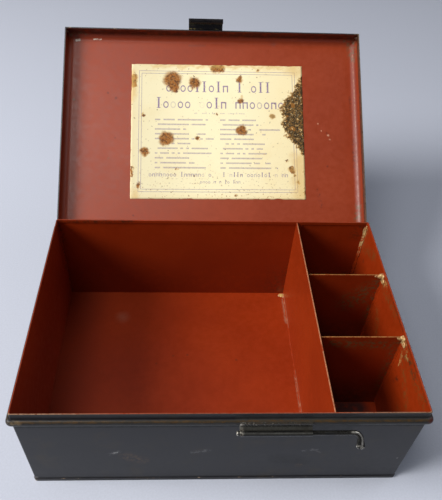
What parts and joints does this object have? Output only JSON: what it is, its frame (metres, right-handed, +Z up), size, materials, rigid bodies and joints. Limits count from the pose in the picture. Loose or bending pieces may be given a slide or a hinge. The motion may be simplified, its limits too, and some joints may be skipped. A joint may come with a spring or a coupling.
{
  "type": "first aid box",
  "caption": "Black tinplate first aid box, red inside, with a hinged lid open on its stop, partitions, a paper label in the lid and a sliding wire bolt that locks it.",
  "frame": {"origin": "middle of the front wall's outer face, on the surface that the box stands on", "axes": "+X to the right seen from the front, +Y from the front to the back, +Z up"},
  "size_m": [0.2738, 0.3567, 0.2047],
  "materials": {
    "body_tinplate": "black japan outside, red-brown lacquer inside, rubbed bare along the edges",
    "lid_tinplate": "red-brown lacquer inside, black japan outside, spotted with rust",
    "partition_tinplate": "red-brown lacquer, rubbed bare along the top",
    "hinge_tinplate": "black japan, worn at the knuckles",
    "worn_tinplate": "rolled tinplate with traces of japan, dull and stained",
    "steel_wire": "drawn wire, tarnished, bright where it is handled",
    "solder": "soft solder, dull grey with bright spots",
    "label_paper": "aged cream paper with a ruled border, foxed and stained"
  },
  "bodies": {
    "box": {"body_wall": "body_tinplate", "base_pan": "body_tinplate", "long_partition": "partition_tinplate", "rear_cross_partition": "partition_tinplate", "front_cross_partition": "partition_tinplate", "long_partition_solder": "solder", "cross_partition_solder": "solder", "side_seam_solder": "solder", "bolt_sleeve": "worn_tinplate", "sleeve_solder": "solder", "left_body_leaf": "hinge_tinplate", "right_body_leaf": "hinge_tinplate", "left_hinge_pin": "steel_wire", "right_hinge_pin": "steel_wire", "body_leaf_solder": "solder"},
    "lid": {"lid_shell": "lid_tinplate", "lid_corner_solder": "solder", "lid_hasp": "worn_tinplate", "hasp_solder": "solder", "contents_label": "label_paper", "left_lid_leaf": "hinge_tinplate", "right_lid_leaf": "hinge_tinplate", "lid_leaf_solder": "solder"},
    "bolt": {"locking_bolt": "steel_wire"}
  },
  "joints": [
    {"name": "lid_hinge", "type": "hinge", "parent": "box", "child": "lid", "pos_m": [0, 0.1845, 0.0861], "axis": [1, 0, 0], "range_deg": [0, 143.8]},
    {"name": "bolt_slide", "type": "slide", "parent": "box", "child": "bolt", "axis": [-1, 0, 0], "range_m": [0, 0.0265]}
  ]
}
